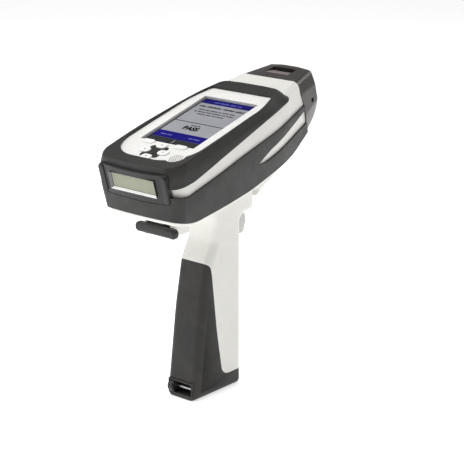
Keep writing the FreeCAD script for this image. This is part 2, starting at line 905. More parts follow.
crown_deck = boolean("Cut", "crown_deck", crown, deck)
module_room = body("module_room")
rear_module_box = box_corners(
    -(d.rear_window_half_width + 3.0 + d.seam),
    d.rear_window_low_level - 1.5 - d.seam,
    d.rear_window_half_width + 3.0 + d.seam,
    d.rear_window_top_level + 0.8 + d.seam,
    1.0,
)
module_room_side = sketch(module_room, "module_room_side", "XZ_Plane", -(rear_seat_station + d.rear_module_depth))
polygon(module_room_side, rear_module_box)
pad(module_room, module_room_side, d.rear_module_depth + 3.0)
upper_tools = [border, well, upper_room, tunnel, rear_envelope, module_room, screw_room]
upper_housing = cut_all("upper_housing", crown_deck, upper_tools)
keep(upper_housing)

# Bumpers, moulded over the white form

top_skin = boolean("Common", "top_skin", rim, above_stripe)
top_bumper = cut_all("top_bumper", top_skin, [crown_deck, rear_envelope])
keep(top_bumper)

side_skin = boolean("Common", "side_skin", flank, band)
side_bumper = cut_all("side_bumper", side_skin, [crown, keel, border, drop, rear_envelope])
keep(side_bumper)


# Bezel with its openings

soft_keys = [("soft_key_left", -d.soft_key_width), ("soft_key_right", d.soft_key_width)]
nav_keys = [
    ("nav_key_up", Size.of(0), d.nav_station + d.nav_reach),
    ("nav_key_down", Size.of(0), d.nav_station - d.nav_reach),
    ("nav_key_left", -d.nav_reach, d.nav_station),
    ("nav_key_right", d.nav_reach, d.nav_station),
]


def key_outline(made, kind, across, along, grow=0.0):
    """Outline of a soft key or a navigation key."""
    if kind == "soft":
        stadium(made, across, along, d.soft_key_half_length, d.soft_key_half_depth, grow)
    else:
        stadium(made, across, along, d.nav_key_half_length, d.nav_key_half_depth, grow)


bezel = body("bezel")
plan_prism(bezel, "bezel_plan_low", bezel_plan(0.0), -d.bezel_thick, Size.of(0))
lobe = sketch(bezel, "bezel_lobe", "XY_Plane", -d.bezel_thick)
circle(lobe, d.bezel_lobe_width, d.bezel_lobe_station, d.bezel_lobe_radius)
pad(bezel, lobe, d.bezel_thick)
glass_hole = sketch(bezel, "glass_hole", "XY_Plane", -d.bezel_thick)
half_hole = d.glass_half_width + d.seam
polygon(glass_hole, box_corners(-half_hole, -d.seam, half_hole, d.glass_length + d.seam, d.glass_round))
pocket(bezel, glass_hole, d.bezel_thick + 1.0, reverse=True)
nav_hole = sketch(bezel, "nav_hole", "XY_Plane", -d.nav_pad_thick)
nav_half = d.nav_pad_half + d.seam
nav_box = box_corners(-nav_half, d.nav_station - nav_half, nav_half, d.nav_station + nav_half, d.nav_pad_round)
polygon(nav_hole, nav_box)
pocket(bezel, nav_hole, d.nav_pad_thick + 1.0, reverse=True)
for name, across in soft_keys:
    hole = sketch(bezel, name + "_hole", "XY_Plane", -d.bezel_thick)
    key_outline(hole, "soft", across, d.soft_key_station, d.key_clearance)
    pocket(bezel, hole, d.bezel_thick + 1.0, reverse=True)
for name, across, along in nav_keys:
    hole = sketch(bezel, name + "_hole", "XY_Plane", -d.bezel_thick)
    key_outline(hole, "nav", across, along, d.key_clearance)
    pocket(bezel, hole, d.bezel_thick + 1.0, reverse=True)
keep(bezel)

# Black pad round the navigation keys

nav_pad = body("nav_pad")
nav_plate = sketch(nav_pad, "nav_plate", "XY_Plane", -d.nav_pad_thick)
plate_half = d.nav_pad_half
plate_box = box_corners(
    -plate_half, d.nav_station - plate_half, plate_half, d.nav_station + plate_half, d.nav_pad_round
)
polygon(nav_plate, plate_box)
pad(nav_pad, nav_plate, d.nav_pad_thick + 0.2)
for name, across, along in nav_keys:
    hole = sketch(nav_pad, name + "_gap", "XY_Plane", -d.nav_pad_thick)
    key_outline(hole, "nav", across, along, d.key_clearance)
    pocket(nav_pad, hole, d.nav_pad_thick + 1.0, reverse=True)
keep(nav_pad)

# Display glass, notched where the soft keys reach over its edge

glass = body("display_glass")
glass_low = -(d.glass_drop + d.glass_thick)
glass_plate = sketch(glass, "glass_plate", "XY_Plane", glass_low)
polygon(glass_plate, box_corners(-d.glass_half_width, Size.of(0), d.glass_half_width, d.glass_length, d.glass_round))
pad(glass, glass_plate, d.glass_thick)
for name, across in soft_keys:
    notch = sketch(glass, name + "_notch", "XY_Plane", glass_low)
    key_outline(notch, "soft", across, d.soft_key_station, d.key_clearance)
    pocket(glass, notch, d.glass_thick + 1.0, reverse=True)
keep(glass)

# Display panel between the glass and the main board

panel = body("display_panel")
panel_plate = sketch(panel, "panel_plate", "XY_Plane", well_floor + d.board_thick)
panel_end = d.panel_start + d.panel_length
polygon(panel_plate, box_corners(-d.panel_half_width, d.panel_start, d.panel_half_width, panel_end, 1.0))
pad(panel, panel_plate, -d.bezel_thick - well_floor - d.board_thick)
panel_step = sketch(panel, "panel_step", "XY_Plane", -d.bezel_thick)
step_half = d.glass_half_width - 0.4
polygon(panel_step, box_corners(-step_half, d.panel_start + 1.0, step_half, panel_end - 2.2, 1.0))
pad(panel, panel_step, d.bezel_thick + glass_low)
keep(panel)

# Keys: a domed cap on a stem with a foot flange under the bezel


def key_body(label, kind, across, along):
    """One key, standing on the dome below it."""
    owner = body(label)
    low = -d.bezel_thick + 0.1
    outline_sketch = sketch(owner, label + "_outline", "XY_Plane", low)
    key_outline(outline_sketch, kind, across, along)
    cap = pad(owner, outline_sketch, d.key_proud - low)
    top_level = d.key_proud.value

    def on_top(edge, middle):
        return abs(middle.z - top_level) < 0.01 and edge.BoundBox.ZLength < 0.01

    soften(owner, label + "_crown", cap, 0.7, on_top)
    keep(owner)


for name, across in soft_keys:
    key_body(name, "soft", across, d.soft_key_station)
for name, across, along in nav_keys:
    key_body(name, "nav", across, along)

# Silicone mat with a dome under every key, and the main board

mat = body("keypad_mat")
mat_low = well_floor + d.board_thick
mat_sheet = sketch(mat, "mat_sheet", "XY_Plane", mat_low)
mat_rear = d.nav_station - 11.3
mat_front = d.panel_start - 0.3
polygon(
    mat_sheet,
    both_sides([(17.0, mat_rear, 8.0), (22.0, d.nav_station, 6.0), (22.0, mat_front, 2.0)]),
)
pad(mat, mat_sheet, 1.0)
domes = sketch(mat, "mat_domes", "XY_Plane", mat_low + 1.0)
for name, across in soft_keys:
    circle(domes, across * 0.93, d.soft_key_station, 2.0)
for name, across, along in nav_keys:
    circle(domes, across, along, 2.4)
pad(mat, domes, -d.bezel_thick - d.key_travel - 0.05 - mat_low - 1.0)
keep(mat)

board = body("main_board")
board_half = [
    (d.board_half_width, d.bezel_rear_station + d.well_margin, d.board_rear_round),
    (d.board_half_width, board_front, 3.0),
]
plan_prism(board, "board_plan", board_half, well_floor, well_floor + d.board_thick)
keep(board)

# Rear display: frame, clear lens and module

rear_frame = body("rear_frame_form")
frame_profile = rear_frame_profile(rear_frame, "frame_profile", 0.0, -rear_seat_station)
pad(rear_frame, frame_profile, d.rear_frame_thick)
frame_rear = rear_seat_station - d.rear_frame_thick


def bow_cut(owner, name, proud):
    """Trim the rear of the frame to the bow of the barrel's rear edge."""
    made = sketch(owner, name, "XY_Plane", d.rear_frame_low_level - 4.0)
    rear = frame_rear - proud
    side = d.rear_frame_half_width + 4.0
    polygon(
        made,
        [
            (-side, rear - 6.0, 0.0),
            (side, rear - 6.0, 0.0),
            (side, rear + d.rear_bow * 0.86, 0.0),
            (d.rear_bow_width, rear, d.rear_bow_round),
            (-d.rear_bow_width, rear, d.rear_bow_round),
            (-side, rear + d.rear_bow * 0.86, 0.0),
        ],
    )
    pocket(owner, made, 40.0, reverse=True)


bow_cut(rear_frame, "frame_bow", 0.0)
window_hole = sketch(rear_frame, "window_hole", "XZ_Plane", -rear_seat_station)
window_half = d.rear_window_half_width
window_corners = box_corners(-window_half, d.rear_window_low_level, window_half, d.rear_window_top_level, 0.8)
polygon(window_hole, window_corners)
pocket(rear_frame, window_hole, d.rear_frame_thick + 1.0, reverse=True)

pillars = sketch(rear_frame, "frame_pillars", "XZ_Plane", -rear_seat_station)
for side in (-1.0, 1.0):
    pillar_side = d.rear_pillar_place * side
    polygon(
        pillars,
        box_corners(
            pillar_side - d.rear_pillar_half_width,
            d.rear_frame_low_level + 0.6,
            pillar_side + d.rear_pillar_half_width,
            d.rear_frame_top_level - 0.6,
            d.rear_pillar_half_width * 0.95,
        ),
    )
pillar_rear = frame_rear + d.rear_bow * 0.62 - d.rear_pillar_proud
pillar_pad = pad(rear_frame, pillars, rear_seat_station - pillar_rear)


def pillar_edge(edge, middle):
    """The edges round the rear end of the pillars."""
    return abs(middle.y - pillar_rear.value) < 0.01 and edge.BoundBox.YLength < 0.01


soften(rear_frame, "pillar_edges", pillar_pad, 0.9, pillar_edge)
window_flare = body("window_flare")
flare_sections = []
for number, (station, grow) in enumerate(
    ((frame_rear + d.rear_window_flare, 0.0), (frame_rear - 1.0, d.rear_window_bevel * 1.5)), start=1
):
    flare = sketch(window_flare, "flare_%d" % number, "XZ_Plane", -station)
    polygon(
        flare,
        box_corners(
            -window_half - grow,
            d.rear_window_low_level - grow,
            window_half + grow,
            d.rear_window_top_level + grow,
            0.8,
        ),
    )
    flare_sections.append(flare)
loft(window_flare, "flare_loft", flare_sections)
rear_display_frame = boolean("Cut", "rear_display_frame", rear_frame, window_flare)
keep(rear_display_frame)

rear_lens = body("rear_display_window")
lens_sketch = sketch(rear_lens, "rear_lens_plate", "XZ_Plane", -rear_seat_station)
lens_half = d.rear_window_half_width - 0.1
lens_box = box_corners(
    -lens_half, d.rear_window_low_level + 0.1, lens_half, d.rear_window_top_level - 0.1, 0.7
)
polygon(lens_sketch, lens_box)
pad(rear_lens, lens_sketch, d.rear_lens_thick)
keep(rear_lens)

rear_module = body("rear_display_module")
module_front = rear_seat_station + d.rear_module_depth
module_sketch = sketch(rear_module, "module_plate", "XZ_Plane", -module_front)
module_half = d.rear_window_half_width + 3.0
module_box = box_corners(
    -module_half, d.rear_window_low_level - 1.5, module_half, d.rear_window_top_level + 0.8, 1.0
)
polygon(module_sketch, module_box)
pad(rear_module, module_sketch, d.rear_module_depth)
keep(rear_module)


# Nose cap, lofted from its root to its blunt front and trimmed along the border line


def nose_half(top_width, top_level, side_width, flank_width, low_width, low_level, rounding, dome):
    """Right half of a section across the nose, from the bottom up."""
    return [
        (low_width, low_level, 1.4 * rounding),
        (flank_width, (top_level + low_level) * 0.58, 3.0 * rounding),
        (side_width, top_level - 12.0, 3.0 * rounding),
        (top_width, top_level, d.nose_corner_round),
        (top_width * 0.36, top_level + dome, 40.0),
    ]


nose = body("nose_form")
nose_root = sketch(nose, "nose_root", "XZ_Plane", -d.nose_root_station)
root_half = nose_half(
    d.nose_root_top_width,
    d.nose_root_top_level,
    d.nose_root_side_width,
    d.nose_root_flank_width,
    d.nose_root_low_width,
    d.nose_root_low_level,
    6.0,
    0.5,
)
polygon(nose_root, both_sides(root_half))
nose_tip = sketch(nose, "nose_tip", "XZ_Plane", -d.nose_station)
tip_half = nose_half(
    d.nose_tip_top_width,
    d.nose_tip_top_level,
    d.nose_tip_side_width,
    d.nose_tip_flank_width,
    d.nose_tip_low_width,
    d.nose_tip_low_level,
    4.5,
    1.7,
)
polygon(nose_tip, both_sides(tip_half))
loft(nose, "nose_loft", [nose_root, nose_tip])
brow = sketch(nose, "nose_brow", "YZ_Plane")
polygon(
    brow,
    [
        (d.nose_station - 18.0, d.nose_tip_low_level - 14.0, 0.0),
        (d.nose_station + 6.0, d.nose_tip_low_level - 14.0, 0.0),
        (d.nose_station + 6.0, d.aperture_level - d.window_radius + 2.0, 0.0),
        (d.nose_station, d.aperture_level - d.window_radius + 2.0, 0.0),
        (d.nose_station - 3.0, d.nose_tip_low_level + 4.0, 14.0),
        (d.nose_station - 12.0, d.nose_tip_low_level - 6.0, 0.0),
    ],
)
brow_cut = pocket(nose, brow, 80.0, symmetric=True)


def on_front(edge, middle):
    """The edge round the blunt front."""
    return abs(middle.y - d.nose_station.value) < 0.01 and edge.BoundBox.YLength < 0.01


soften(nose, "nose_edge", brow_cut, 2.0, on_front)

# Scoop with a slot in the top of the nose
scoop = sketch(nose, "scoop", "YZ_Plane")
polygon(
    scoop,
    [
        (d.scoop_start, d.scoop_start_level, 0.0),
        (d.scoop_end, d.scoop_end_level, 0.6),
        (d.scoop_end, ABOVE, 0.0),
        (d.scoop_start, ABOVE, 0.0),
    ],
)
pocket(nose, scoop, 2 * d.scoop_half_width, symmetric=True)
slot = sketch(nose, "slot", "XY_Plane", d.scoop_end_level - d.slot_depth)
slot_reach = d.scoop_half_width - 3.0
polygon(slot, box_corners(-slot_reach, d.scoop_end - d.slot_length, slot_reach, d.scoop_end + 0.4, 1.2))
pocket(nose, slot, 12.0, reverse=True)

# Room inside the cap, the seat of the collar, the sampling aperture and the side dimples
nose_room = sketch(nose, "nose_room", "XZ_Plane", -(d.nose_root_station - 5.0))
room_inset = 2.2
polygon(nose_room, collar_corners(room_inset))
pocket(nose, nose_room, d.nose_station - d.nose_wall - d.nose_root_station + 5.0)
collar_seat = sketch(nose, "collar_seat", "XZ_Plane", -(d.nose_root_station - 5.0))
polygon(collar_seat, collar_corners(-d.seam))
pocket(nose, collar_seat, d.collar_end - d.nose_root_station + 5.0)
aperture = sketch(nose, "aperture", "XZ_Plane", -(d.nose_station - d.nose_wall - 1.0))
circle(aperture, Size.of(0), d.aperture_level, d.aperture_radius)
pocket(nose, aperture, 10.0)
for side, name in ((-1, "left"), (1, "right")):
    dimple = sketch(nose, "dimple_" + name, "YZ_Plane", side * (d.nose_tip_side_width + 8.0))
    stadium(dimple, d.dimple_station, d.dimple_level, 2.2, 2.1)
    pocket(nose, dimple, 8.0, reverse=side < 0)


nose_cap = boolean("Common", "nose_cap", nose, border)
keep(nose_cap)

# Collar that joins the cap to the housing

collar = body("nose_collar")
collar_outer = sketch(collar, "collar_outer", "XZ_Plane", -d.collar_start)
polygon(collar_outer, collar_corners(0.0))
pad(collar, collar_outer, d.collar_end - d.collar_start, reverse=True)
collar_inner = sketch(collar, "collar_inner", "XZ_Plane", -(d.collar_start - 1.0))
polygon(collar_inner, collar_corners(d.collar_wall))
pocket(collar, collar_inner, d.collar_end - d.collar_start + 2.0)
keep(collar)

# Window, lamp block and lamps behind the aperture

nose_front_inner = d.nose_station - d.nose_wall
lamp_block_start = d.collar_end + 0.5
lamp_block = body("lamp_block")
lamp_outer = sketch(lamp_block, "lamp_outer", "XZ_Plane", -lamp_block_start)
polygon(lamp_outer, collar_corners(room_inset + 0.1))
lamp_block_end = nose_front_inner - d.window_thick
pad(lamp_block, lamp_outer, lamp_block_end - lamp_block_start, reverse=True)
light_hole = sketch(lamp_block, "light_hole", "XZ_Plane", -(lamp_block_start - 1.0))
circle(light_hole, Size.of(0), d.aperture_level, d.lens_tube_radius - 1.0)
pocket(lamp_block, light_hole, 20.0)
lamp_places = [(-d.lamp_ring_radius * 0.87, d.aperture_level), (d.lamp_ring_radius * 0.87, d.aperture_level)]
lamp_holes = sketch(lamp_block, "lamp_holes", "XZ_Plane", -(lamp_block_start + 2.0))
for across, level in lamp_places:
    circle(lamp_holes, across, level, d.lamp_radius + 0.05)
pocket(lamp_block, lamp_holes, 20.0)
keep(lamp_block)


def along_barrel(label, radius, start, length, across, level, inner=None):
    """A round piece whose axis lies along the barrel."""
    owner = body(label)
    profile = sketch(owner, label + "_round", "XZ_Plane", -start)
    circle(profile, across, level, radius)
    if inner is not None:
        circle(profile, across, level, inner)
    pad(owner, profile, length, reverse=True)
    return owner


window = along_barrel(
    "nose_window", d.window_radius, nose_front_inner - d.window_thick, d.window_thick, Size.of(0), d.aperture_level
)
keep(window)
lamps = body("lamps")
for number, (across, level) in enumerate(lamp_places, start=1):
    lamp = sketch(lamps, "lamp_%d" % number, "XZ_Plane", -(lamp_block_start + 2.0))
    circle(lamp, across, level, d.lamp_radius)
    pad(lamps, lamp, lamp_block_end - lamp_block_start - 3.0, reverse=True)
keep(lamps)

# Optics bench with saddles for the lens tube, the grating block and the detector

bench = body("optics_bench")
bench_plan = sketch(bench, "bench_plan", "XY_Plane", d.bench_level)
bench_end = d.bench_start + d.bench_length
polygon(bench_plan, box_corners(-d.bench_half_width, d.bench_start, d.bench_half_width, bench_end, 4.0))
pad(bench, bench_plan, d.bench_thick)
saddle_half = d.lens_tube_radius + 3.0
for number, station in enumerate((bench_end - 12.0, bench_end - 5.0), start=1):
    saddle = sketch(bench, "saddle_%d" % number, "XZ_Plane", -station)
    saddle_top = d.aperture_level - 1.0
    saddle_low = d.bench_level + d.bench_thick - 0.5
    polygon(saddle, box_corners(-saddle_half, saddle_low, saddle_half, saddle_top, 0.0))
    pad(bench, saddle, 4.0, reverse=True)
saddle_bore = sketch(bench, "saddle_bore", "XZ_Plane", -(d.lens_tube_start - 2.0))
circle(saddle_bore, Size.of(0), d.aperture_level, d.lens_tube_radius + d.pin_fit)
pocket(bench, saddle_bore, 30.0)
keep(bench)

lens_tube = along_barrel(
    "lens_tube",
    d.lens_tube_radius,
    d.lens_tube_start,
    d.lens_tube_length,
    Size.of(0),
    d.aperture_level,
    d.lens_tube_radius - 1.2,
)
keep(lens_tube)
lens = along_barrel(
    "collimating_lens",
    d.lens_tube_radius - 1.2 - d.pin_fit,
    d.lens_tube_start + d.lens_tube_length - 6.0,
    4.0,
    Size.of(0),
    d.aperture_level,
)
keep(lens)

core = body("grating_block")
core_side = sketch(core, "core_side", "YZ_Plane")
bench_face = d.bench_level + d.bench_thick
core_rear = d.bench_start + 40.0
core_front = d.lens_tube_start - 8.0
core_top = d.cavity_top_level - 4.0
polygon(
    core_side,
    [
        (core_rear, bench_face, 0.0),
        (core_front, bench_face, 0.0),
        (core_front, core_top - 6.0, 0.0),
        (core_front - 8.0, core_top, 0.0),
        (core_rear + 12.0, core_top, 0.0),
        (core_rear, core_top - 10.0, 0.0),
    ],
)
pad(core, core_side, 38.0, symmetric=True)
core_port = sketch(core, "core_port", "XZ_Plane", -core_front)
circle(core_port, Size.of(0), d.aperture_level, d.lens_tube_radius - 2.0)
pad(core, core_port, 8.0, reverse=True)
core_light = sketch(core, "core_light", "XZ_Plane", -(core_front - 4.0))
circle(core_light, Size.of(0), d.aperture_level, d.lens_tube_radius - 4.0)
pocket(core, core_light, 14.0)
keep(core)

detector = along_barrel(
    "detector", Size.of(4.6), core_rear - 6.0, Size.of(6.0), Size.of(8.0), d.aperture_level - 4.0
)
keep(detector)
detector_board = body("detector_board")
detector_plate = sketch(detector_board, "detector_plate", "XZ_Plane", -(core_rear - 7.6))
polygon(detector_plate, box_corners(Size.of(-17.0), bench_face, Size.of(17.0), core_top - 8.0, 1.0))
pad(detector_board, detector_plate, 1.6, reverse=True)
keep(detector_board)

# Grip: one side view, one skin inside for the rubber, both rounded along their long edges


def grip_corners(inset):
    """Side view of the grip, inset by the thickness of the rubber."""
    return [
        (d.grip_heel + inset, inset, 2.0),
        (d.grip_front - inset, inset, 3.0),
        (d.grip_front - inset, d.hood_low_z - 2.0, 5.0),
        (d.hood_front, d.hood_low_z, 2.5),
        (d.hood_front, d.grip_top_z + 6.0, 0.0),
        (Size.of(-40.0), d.grip_top_z - 6.0, 0.0),
        (Size.of(-40.0), d.grip_flare_z, 0.0),
        (d.grip_neck_y + 1.0 + inset, d.grip_flare_z, d.grip_flare_round),
        (d.grip_neck_y + inset, d.grip_neck_z, 14.0),
        (d.grip_waist_y + inset, d.grip_waist_z, 20.0),
        (d.grip_heel + 10.5 + inset, d.grip_waist_z - 41.0, 150.0),
    ]


def grip_body(label, inset):
    """The grip as a block with rounded long edges."""
    owner = body(label, barrel=False)
    side = sketch(owner, label + "_side", "YZ_Plane")
    polygon(side, grip_corners(inset))
    half = d.grip_half_width - inset
    block = pad(owner, side, 2 * half, symmetric=True)
    half_value = half.value
    low = float(inset)
    top = d.grip_top_z.value - 12.0

    def long_edge(edge, middle):
        if abs(abs(middle.x) - half_value) > 0.01:
            return False
        return middle.z > low + 0.5 and middle.z < top and edge.BoundBox.XLength < 0.01 and middle.y > -39.0

    soften(owner, label + "_edges", block, d.grip_edge_round - inset, long_edge)
    return owner


grip = grip_body("grip_form", Size.of(0))
grip_core = grip_body("grip_core", d.pad_thick)


# Chin: the white keel that runs forward from the trigger hood to the nose

chin = body("chin_form")
chin_side = sketch(chin, "chin_side", "YZ_Plane")
polygon(
    chin_side,
    [
        (d.chin_rear_station, d.keel_low_level + 6.0, 0.0),
        (d.chin_rear_station, d.chin_low_level, 0.0),
        (d.chin_low_station, d.chin_low_level, 8.0),
        (d.chin_mid_station, d.chin_mid_level, 60.0),
        (d.throat_station, d.keel_front_level - 4.0, 0.0),
        (d.throat_station, d.keel_front_level + 4.0, 0.0),
    ],
)
chin_block = pad(chin, chin_side, 2 * d.chin_width, symmetric=True)


def chin_edge(edge, middle):
    """The two long lower edges of the chin."""
    on_side = abs(abs(middle.x) - d.chin_width.value) < 0.01 and edge.BoundBox.XLength < 0.01
    return on_side and middle.z < d.keel_front_level.value - 1.0 and middle.y > d.chin_rear_station.value + 0.5


soften(chin, "chin_edges", chin_block, d.chin_round, chin_edge)

# Gap between the trigger hood and the chin

hood_gap = body("hood_gap", barrel=False)
gap_side = sketch(hood_gap, "gap_side", "YZ_Plane")
polygon(gap_side, box_corners(d.grip_waist_y, d.hood_low_z - 30.0, d.chin_rear_y, d.hood_low_z + 17.0, 1.5))
pad(hood_gap, gap_side, 60.0, symmetric=True)
chin_shape = boolean("Cut", "chin_shape", chin, hood_gap)

# Port block under the rear of the barrel, with ears for the cover

port_block = body("port_block", barrel=False)
port_plan = sketch(port_block, "port_plan", "XY_Plane", d.port_low_z)
polygon(port_plan, box_corners(-d.port_half_width, d.port_rear, d.port_half_width, d.port_front, 3.0))
pad(port_block, port_plan, 22.0)
ears = sketch(port_block, "port_ears", "YZ_Plane")
ear_round = d.port_ear_radius
polygon(
    ears,
    [
        (d.port_hinge_y - ear_round, d.port_hinge_z - ear_round, ear_round - 0.1),
        (d.port_hinge_y + ear_round, d.port_hinge_z - ear_round, ear_round - 0.1),
        (d.port_hinge_y + ear_round + 3.0, d.port_low_z + 1.0, 0.0),
        (d.port_hinge_y - ear_round + 0.2, d.port_low_z + 1.0, 0.0),
    ],
)
ear_out = d.port_hinge_half + d.turning_fit + 0.2 + d.port_ear
pad(port_block, ears, 2 * ear_out, symmetric=True)
ear_gap = sketch(port_block, "ear_gap", "YZ_Plane")
polygon(
    ear_gap,
    box_corners(d.port_rear - 12.0, d.port_low_z - 12.0, d.port_front + 12.0, d.port_low_z, 0.0),
)
pocket(port_block, ear_gap, 2 * (d.port_hinge_half + d.turning_fit + 0.2), symmetric=True)
knuckle_gap = sketch(port_block, "knuckle_gap", "YZ_Plane")
circle(knuckle_gap, d.port_hinge_y, d.port_hinge_z, d.port_knuckle + 0.3)
pocket(port_block, knuckle_gap, 2 * (d.port_hinge_half + d.turning_fit + 0.2), symmetric=True)
ear_bore = sketch(port_block, "ear_bore", "YZ_Plane")
circle(ear_bore, d.port_hinge_y, d.port_hinge_z, d.port_hinge_radius + d.pin_fit)
pocket(port_block, ear_bore, 80.0, symmetric=True)
ear_back = sketch(port_block, "ear_back", "YZ_Plane")
polygon(
    ear_back,
    box_corners(d.port_rear - 12.0, d.port_low_z - 1.0, d.port_rear, d.port_low_z + 6.0, 0.0),
)
pocket(port_block, ear_back, 2 * (d.port_hinge_half + d.turning_fit + 0.2), symmetric=True)
port_mouth = sketch(port_block, "port_mouth", "XZ_Plane", -(d.port_rear - 1.0))
mouth_half = d.port_half_width - 4.0
polygon(port_mouth, box_corners(-mouth_half, d.port_low_z + 2.0, mouth_half, d.port_low_z + 9.0, 1.5))
pocket(port_block, port_mouth, 9.0)

# Cutters for the grip: rubber region, trigger slot, battery room, door opening, heel recess


def grip_prism(label, corners, half_width):
    """A symmetrical block with the given side view in the instrument frame."""
    owner = body(label, barrel=False)
    side = sketch(owner, label + "_side", "YZ_Plane")
    polygon(side, corners)
    pad(owner, side, 2 * half_width, symmetric=True)
    return owner


pad_region = grip_prism(
    "pad_region",
    [
        (-60.0, -5.0, 0.0),
        (60.0, -5.0, 0.0),
        (60.0, d.boot_top_z, 0.0),
        (d.pad_foot_y, d.boot_top_z, 9.0),
        (d.pad_edge_y, 57.0, 200.0),
        (d.pad_top_y, d.pad_top_z, 6.0),
        (-60.0, d.pad_top_z + 0.5, 0.0),
    ],
    40.0,
)
rubber_skin = boolean("Cut", "rubber_skin", grip, grip_core)
rubber_shell = boolean("Common", "rubber_shell", rubber_skin, pad_region)
heel_lining = grip_prism(
    "heel_lining",
    box_corners(
        d.grip_heel + 0.4,
        d.strap_low_z - d.heel_wall,
        d.grip_heel + d.strap_depth + d.heel_wall,
        d.strap_top_z + d.heel_wall,
        1.0,
    ),
    d.strap_half_width + d.heel_wall * 0.7,
)
rubber_part = boolean("Fuse", "rubber_part", rubber_shell, heel_lining)

trigger_slot_half = d.trigger_half_width + d.trigger_side_gap
trigger_slot = grip_prism(
    "trigger_slot",
    [
        (d.trigger_slot_rear, d.trigger_low_z - 4.0, 0.8),
        (d.hood_front + 12.0, d.trigger_low_z - 4.0, 0.0),
        (d.hood_front + 12.0, d.hood_low_z + 1.5, 0.0),
        (d.hood_front - 1.2, d.hood_low_z + 2.5, 0.0),
        (d.hood_front - 3.4, d.trigger_pivot_z + 5.2, 3.0),
        (d.trigger_pivot_y - 6.0, d.trigger_pivot_z + 5.2, 3.0),
        (d.trigger_slot_rear, d.hood_low_z - 4.0, 4.0),
    ],
    trigger_slot_half,
)
trigger_bore = grip_prism(
    "trigger_bore",
    box_corners(
        d.trigger_pivot_y - d.trigger_pin_radius - d.pin_fit,
        d.trigger_pivot_z - d.trigger_pin_radius - d.pin_fit,
        d.trigger_pivot_y + d.trigger_pin_radius + d.pin_fit,
        d.trigger_pivot_z + d.trigger_pin_radius + d.pin_fit,
        (d.trigger_pin_radius + d.pin_fit) * 0.999,
    ),
    d.grip_half_width - 4.0,
)
switch_front = d.trigger_slot_rear + 1.5
switch_rear = switch_front - 9.0
switch_low = d.trigger_low_z + 2.5
switch_high = switch_low + 12.0
switch_room = grip_prism(
    "switch_room",
    box_corners(switch_rear - d.seam, switch_low - d.seam, switch_front + 4.0, switch_high + d.seam, 0.0),
    d.switch_half_width + d.seam,
)
battery_room = grip_prism(
    "battery_room",
    box_corners(
        d.battery_rear - d.battery_clearance,
        3.0,
        d.battery_front + d.battery_clearance,
        d.battery_low_z + d.battery_length + 8.0,
        2.0,
    ),
    d.battery_half_width + d.battery_clearance,
)
door_top = d.door_lift + d.door_thick
door_front = d.door_hinge_y + d.door_knuckle
door_room = grip_prism(
    "door_room",
    box_corners(
        d.door_rear - d.door_clearance,
        -4.0,
        door_front + d.door_clearance,
        door_top + 0.15,
        0.0,
    ),
    d.door_half_width + d.door_clearance,
)
knuckle_room = grip_prism(
    "knuckle_room",
    box_corners(
        d.door_hinge_y - d.door_knuckle - d.door_clearance,
        -4.0,
        door_front + d.door_clearance,
        d.door_hinge_z + d.door_knuckle + d.door_clearance,
        0.0,
    ),
    d.door_half_width + d.door_clearance,
)
door_bore = grip_prism(
    "door_bore",
    box_corners(
        d.door_hinge_y - d.door_pin_radius - d.pin_fit,
        d.door_hinge_z - d.door_pin_radius - d.pin_fit,
        d.door_hinge_y + d.door_pin_radius + d.pin_fit,
        d.door_hinge_z + d.door_pin_radius + d.pin_fit,
        (d.door_pin_radius + d.pin_fit) * 0.999,
    ),
    d.door_half_width + 1.8,
)
heel_room = grip_prism(
    "heel_room",
    box_corners(
        d.grip_heel - 6.0, d.strap_low_z, d.grip_heel + d.strap_depth, d.strap_top_z, 0.0
    ),
    d.strap_half_width,
)
strap_y = d.grip_heel + d.strap_pin_depth
strap_z = (d.strap_low_z + d.strap_top_z) / 2
strap_bore = grip_prism(
    "strap_bore",
    box_corners(
        strap_y - d.strap_pin_radius - d.pin_fit,
        strap_z - d.strap_pin_radius - d.pin_fit,
        strap_y + d.strap_pin_radius + d.pin_fit,
        strap_z + d.strap_pin_radius + d.pin_fit,
        (d.strap_pin_radius + d.pin_fit) * 0.999,
    ),
    d.strap_half_width + 2.0,
)

# Lower housing: keel, chin, port block and grip in one moulding, hollowed for what it holds

lower_sum = boolean("Fuse", "lower_sum", keel, [chin_shape, grip, port_block])
trimmed = boolean("Cut", "lower_trimmed", lower_sum, border)
lower_tools = [
    rear_envelope,
    rubber_part,
    lower_room,
    tunnel,
    trigger_slot,
    trigger_bore,
    switch_room,
    battery_room,
    door_room,
    knuckle_room,
    door_bore,
    heel_room,
    strap_bore,
    screw_room,
]
over_parting = side_prism(
    "over_parting",
    box_corners(Size.of(BACK), d.widest_level, Size.of(FAR), Size.of(ABOVE), 0.0),
)
lower_housing = cut_all("lower_housing", trimmed, [over_parting] + lower_tools)
keep(lower_housing)

grip_pad = cut_all("grip_pad", rubber_part, [door_room, knuckle_room, door_bore, heel_room, strap_bore])
keep(grip_pad)


# Pins: plain steel rods across the instrument


def cross_pin(label, y, z, radius, half_length):
    """A round pin along X."""
    owner = body(label, barrel=False)
    profile = sketch(owner, label + "_end", "YZ_Plane")
    circle(profile, y, z, radius)
    rod = pad(owner, profile, 2 * half_length, symmetric=True)

    def at_end(edge, middle):
        return abs(abs(middle.x) - float(half_length)) < 0.01

    soften(owner, label + "_bevel", rod, 0.2, at_end, "Chamfer")
    keep(owner)
    return owner


cross_pin("trigger_pin", d.trigger_pivot_y, d.trigger_pivot_z, d.trigger_pin_radius, d.grip_half_width - 4.2)
cross_pin("door_pin", d.door_hinge_y, d.door_hinge_z, d.door_pin_radius, d.door_half_width + 1.6)
cross_pin("strap_pin", strap_y, strap_z, d.strap_pin_radius, d.strap_half_width + 1.8)
cross_pin("port_pin", d.port_hinge_y, d.port_hinge_z, d.port_hinge_radius, ear_out)

# Trigger: a broad curved blade on a pin under the hood

